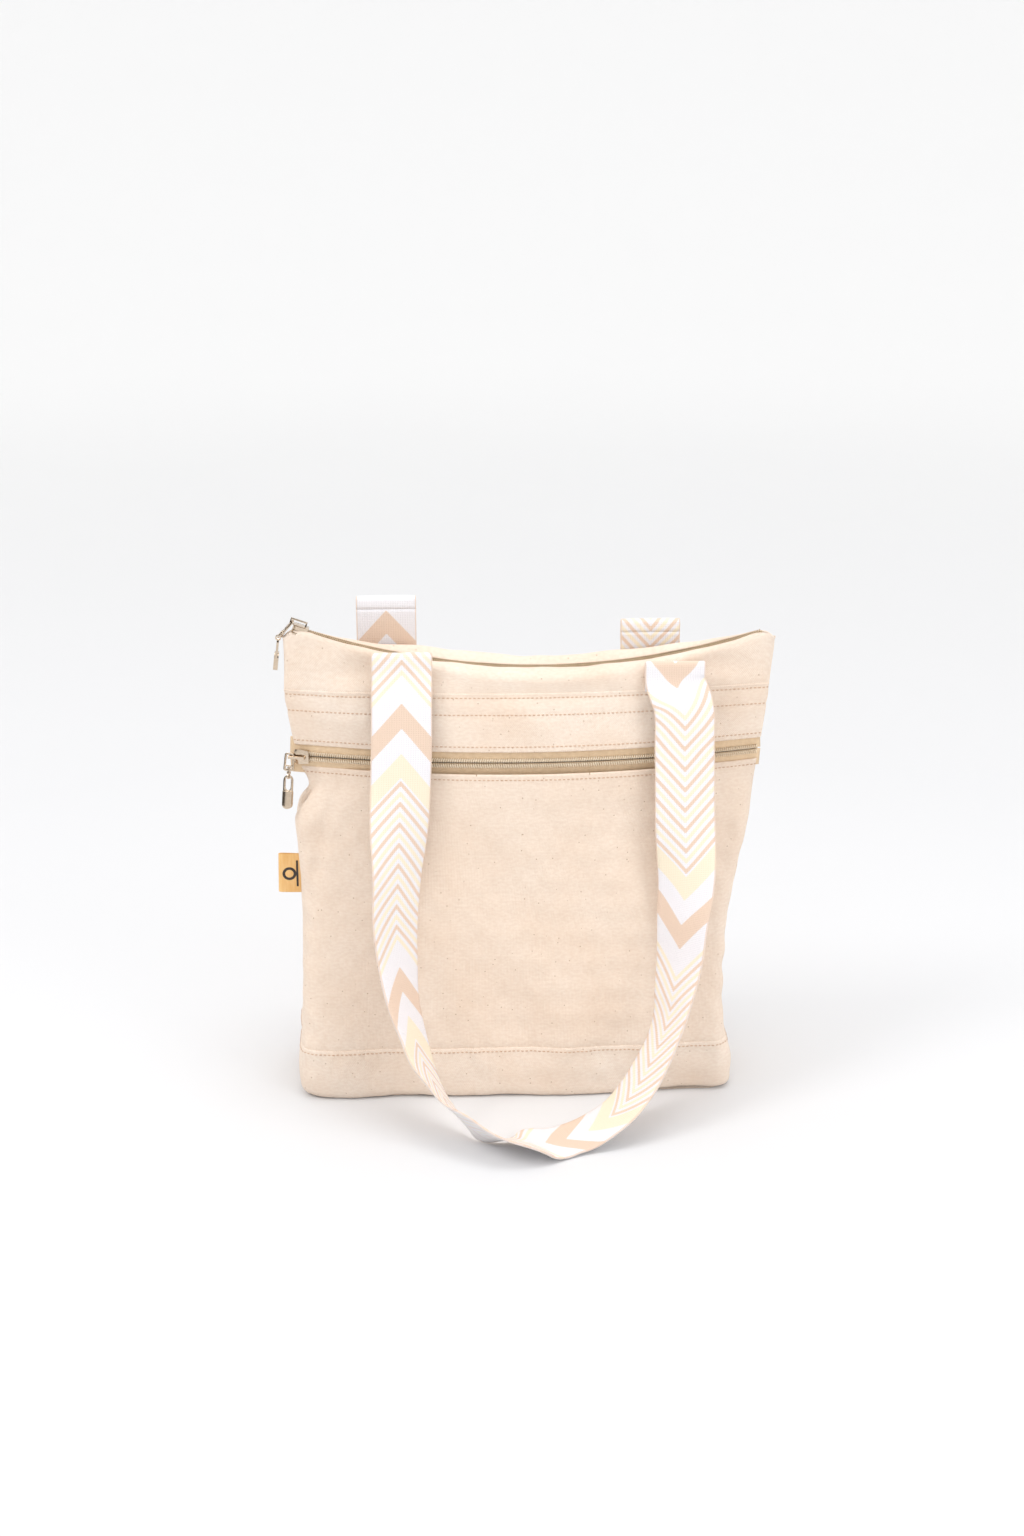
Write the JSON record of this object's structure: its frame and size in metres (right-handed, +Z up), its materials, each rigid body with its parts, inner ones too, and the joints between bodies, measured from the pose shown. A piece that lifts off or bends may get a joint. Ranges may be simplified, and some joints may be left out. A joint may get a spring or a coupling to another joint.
{
  "type": "zip-top canvas tote bag",
  "caption": "Soft canvas tote bag with a zip top, a zipped front pocket, twisted webbing handles and swinging zip pulls.",
  "frame": {"origin": "centre of the base's underside, on the floor", "axes": "+X to the right seen from the front, +Y to the back, +Z up"},
  "size_m": [0.318, 0.2878, 0.3175],
  "materials": {
    "canvas": "undyed cotton twill with brown flecks",
    "lining_cloth": "plain cotton",
    "zip_tape": "woven khaki tape",
    "zip_coil": "nylon coil, satin",
    "webbing": "jacquard webbing with tan and cream chevrons",
    "label_satin": "satin ribbon",
    "zip_metal": "polished light gold plating"
  },
  "bodies": {
    "bag": {"base_panel": "canvas", "front_band": "canvas", "back_band": "canvas", "front_pocket_panel": "canvas", "pocket_back_wall": "canvas", "front_upper_panel": "canvas", "front_yoke": "canvas", "back_panel": "canvas", "back_yoke": "canvas", "lining": "lining_cloth", "pocket_zip_upper_tape": "zip_tape", "pocket_zip_lower_tape": "zip_tape", "pocket_zip_upper_coil": "zip_coil", "pocket_zip_lower_coil": "zip_coil", "side_label": "label_satin", "front_strap_legs": "webbing", "back_strap_legs": "webbing"},
    "mouth_front": {"top_zip_front_tape": "zip_tape", "top_zip_front_coil": "zip_coil"},
    "mouth_back": {"top_zip_back_tape": "zip_tape", "top_zip_back_coil": "zip_coil"},
    "top_slider": {"top_slider": "zip_metal"},
    "top_pull_ring": {"top_pull_ring": "zip_metal"},
    "top_pull_swivel": {"top_pull_swivel": "zip_metal"},
    "top_pull_bar": {"top_pull_bar": "zip_metal"},
    "pocket_slider": {"pocket_slider": "zip_metal"},
    "pocket_pull_ring": {"pocket_pull_ring": "zip_metal"},
    "pocket_pull_swivel": {"pocket_pull_swivel": "zip_metal"},
    "pocket_pull_bar": {"pocket_pull_bar": "zip_metal"},
    "front_strap": {"front_strap": "webbing"},
    "back_strap": {"back_strap": "webbing"}
  },
  "joints": [
    {"name": "top_zip_travel", "type": "hinge", "parent": "bag", "child": "top_slider", "pos_m": [0.02, 0, 0.732], "axis": [0, -1, 0], "range_deg": [0, 35.8], "deforming": ["front_yoke", "back_yoke", "top_zip_front_tape", "top_zip_front_coil", "top_zip_back_tape", "top_zip_back_coil"]},
    {"name": "mouth_front_opening", "type": "hinge", "parent": "bag", "child": "mouth_front", "pos_m": [0.013, 0, 0.3008], "axis": [-0.9998, 0, 0.0185], "range_deg": [0, 48], "deforming": ["top_zip_front_tape", "top_zip_front_coil", "front_yoke", "back_yoke"]},
    {"name": "mouth_back_opening", "type": "hinge", "parent": "bag", "child": "mouth_back", "pos_m": [0.013, 0, 0.3008], "axis": [0.9998, 0, -0.0185], "range_deg": [0, 48], "deforming": ["top_zip_back_tape", "top_zip_back_coil", "front_yoke", "back_yoke"]},
    {"name": "top_ring_swing", "type": "hinge", "parent": "top_slider", "child": "top_pull_ring", "pos_m": [-0.13711, 0, 0.30863], "axis": [0, 1, 0], "range_deg": [0, 170], "deforming": ["front_yoke", "back_yoke", "top_zip_front_tape", "top_zip_front_coil", "top_zip_back_tape", "top_zip_back_coil"]},
    {"name": "top_swivel_turn", "type": "hinge", "parent": "top_pull_ring", "child": "top_pull_swivel", "pos_m": [-0.14441, 0, 0.30053], "axis": [0.6691, 0, 0.7431], "continuous": true},
    {"name": "top_bar_swing", "type": "hinge", "parent": "top_pull_swivel", "child": "top_pull_bar", "pos_m": [-0.14661, 0, 0.29807], "axis": [0, 1, 0], "range_deg": [-4, 90]},
    {"name": "pocket_zip_travel", "type": "hinge", "parent": "bag", "child": "pocket_slider", "pos_m": [0.0096, 0.4315, 0.222], "axis": [0, 0, 1], "range_deg": [0, 35.2]},
    {"name": "pocket_ring_swing", "type": "hinge", "parent": "pocket_slider", "child": "pocket_pull_ring", "pos_m": [-0.14168, -0.00662, 0.222], "axis": [-0.3054, -0.9293, 0.2079], "range_deg": [-95, 45]},
    {"name": "pocket_swivel_turn", "type": "hinge", "parent": "pocket_pull_ring", "child": "pocket_pull_swivel", "pos_m": [-0.14248, -0.00907, 0.20987], "axis": [0.0649, 0.1975, 0.9781], "continuous": true},
    {"name": "pocket_bar_swing", "type": "hinge", "parent": "pocket_pull_swivel", "child": "pocket_pull_bar", "pos_m": [-0.14248, -0.00907, 0.20987], "axis": [0.95, -0.3122, 0], "range_deg": [-85, 3]},
    {"name": "front_strap_lift", "type": "hinge", "parent": "bag", "child": "front_strap", "pos_m": [0.01585, -0.01925, 0.28575], "axis": [-0.999, 0.0041, 0.0438], "range_deg": [0, 150]},
    {"name": "back_strap_lift", "type": "hinge", "parent": "bag", "child": "back_strap", "pos_m": [0.00525, 0.01975, 0.3095], "axis": [0.9949, 0.003, -0.1004], "range_deg": [0, 150]}
  ],
  "couplings": [
    {"joint": "mouth_front_opening", "follows": "top_zip_travel", "ratio": 1.3407},
    {"joint": "mouth_back_opening", "follows": "top_zip_travel", "ratio": 1.3407}
  ]
}
